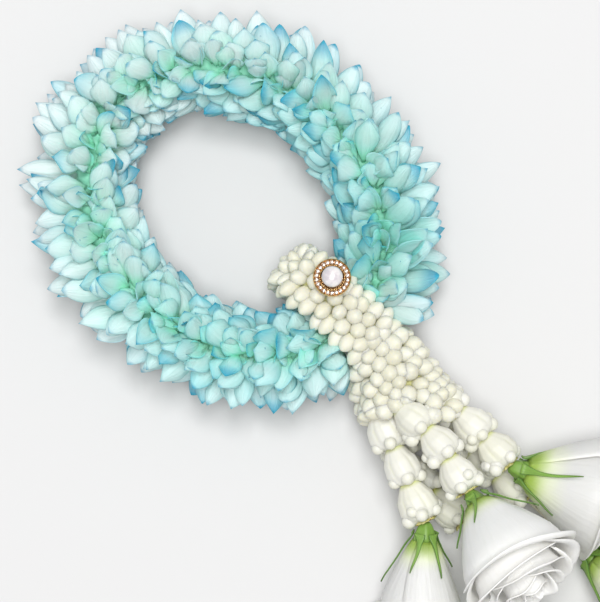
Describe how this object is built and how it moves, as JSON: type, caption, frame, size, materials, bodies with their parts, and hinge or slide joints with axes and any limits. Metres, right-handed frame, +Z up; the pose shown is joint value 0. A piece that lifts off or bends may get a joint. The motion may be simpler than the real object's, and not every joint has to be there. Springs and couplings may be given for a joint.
{
  "type": "flower garland",
  "caption": "Closed ring of pointed dyed petals with a white bud cuff, a jewelled brooch and a tassel of crown flowers and white roses, lying flat.",
  "frame": {"origin": "on the surface that the garland lies on, under the middle of its box", "axes": "+Z up from the surface, +Y from the tassel towards the petal ring, +X to the right seen from above"},
  "size_m": [0.1696, 0.3384, 0.0794],
  "materials": {
    "dyed_petal": "waxy petals dyed mint, aqua and lilac white",
    "jasmine": "satin cream-white buds",
    "crown_flower": "waxy white flowers",
    "white_rose": "soft white petals, greenish towards the base",
    "rose_green": "satin green hip and sepals",
    "cotton_thread": "twisted cotton",
    "gold": "polished gold-coloured metal",
    "steel": "bright wire",
    "clear_stone": "faceted clear stones",
    "pearl": "lustrous pearl"
  },
  "bodies": {
    "root": {"brooch_cup": "gold", "brooch_pearl": "pearl", "brooch_pin": "steel", "brooch_stones": "clear_stone", "crown_flower_a1": "crown_flower", "crown_flower_a2": "crown_flower", "crown_flower_a3": "crown_flower", "crown_flower_b1": "crown_flower", "crown_flower_b2": "crown_flower", "crown_flower_b3": "crown_flower", "crown_flower_c1": "crown_flower", "crown_flower_c2": "crown_flower", "crown_flower_c3": "crown_flower", "crown_flower_d1": "crown_flower", "crown_flower_d2": "crown_flower", "crown_flower_d3": "crown_flower", "crown_flower_d4": "crown_flower", "crown_flower_e1": "crown_flower", "crown_flower_e2": "crown_flower", "crown_flower_e3": "crown_flower", "jasmine_cuff_bend": "jasmine", "jasmine_cuff_top": "jasmine", "jasmine_cuff_under": "jasmine", "jasmine_neck": "jasmine", "petal_ring_01": "dyed_petal", "petal_ring_02": "dyed_petal", "petal_ring_03": "dyed_petal", "petal_ring_04": "dyed_petal", "petal_ring_05": "dyed_petal", "petal_ring_06": "dyed_petal", "petal_ring_07": "dyed_petal", "petal_ring_08": "dyed_petal", "petal_ring_09": "dyed_petal", "petal_ring_10": "dyed_petal", "petal_ring_11": "dyed_petal", "petal_ring_12": "dyed_petal", "ring_thread": "cotton_thread", "rose_a": "white_rose", "rose_b": "white_rose", "rose_c": "white_rose", "rose_d": "white_rose", "rose_e": "white_rose", "rose_hip_a": "rose_green", "rose_hip_b": "rose_green", "rose_hip_c": "rose_green", "rose_hip_d": "rose_green", "rose_hip_e": "rose_green", "strand_thread_a": "cotton_thread", "strand_thread_b": "cotton_thread", "strand_thread_c": "cotton_thread", "strand_thread_d": "cotton_thread", "strand_thread_e": "cotton_thread", "tie_thread": "cotton_thread"}
  },
  "joints": []
}
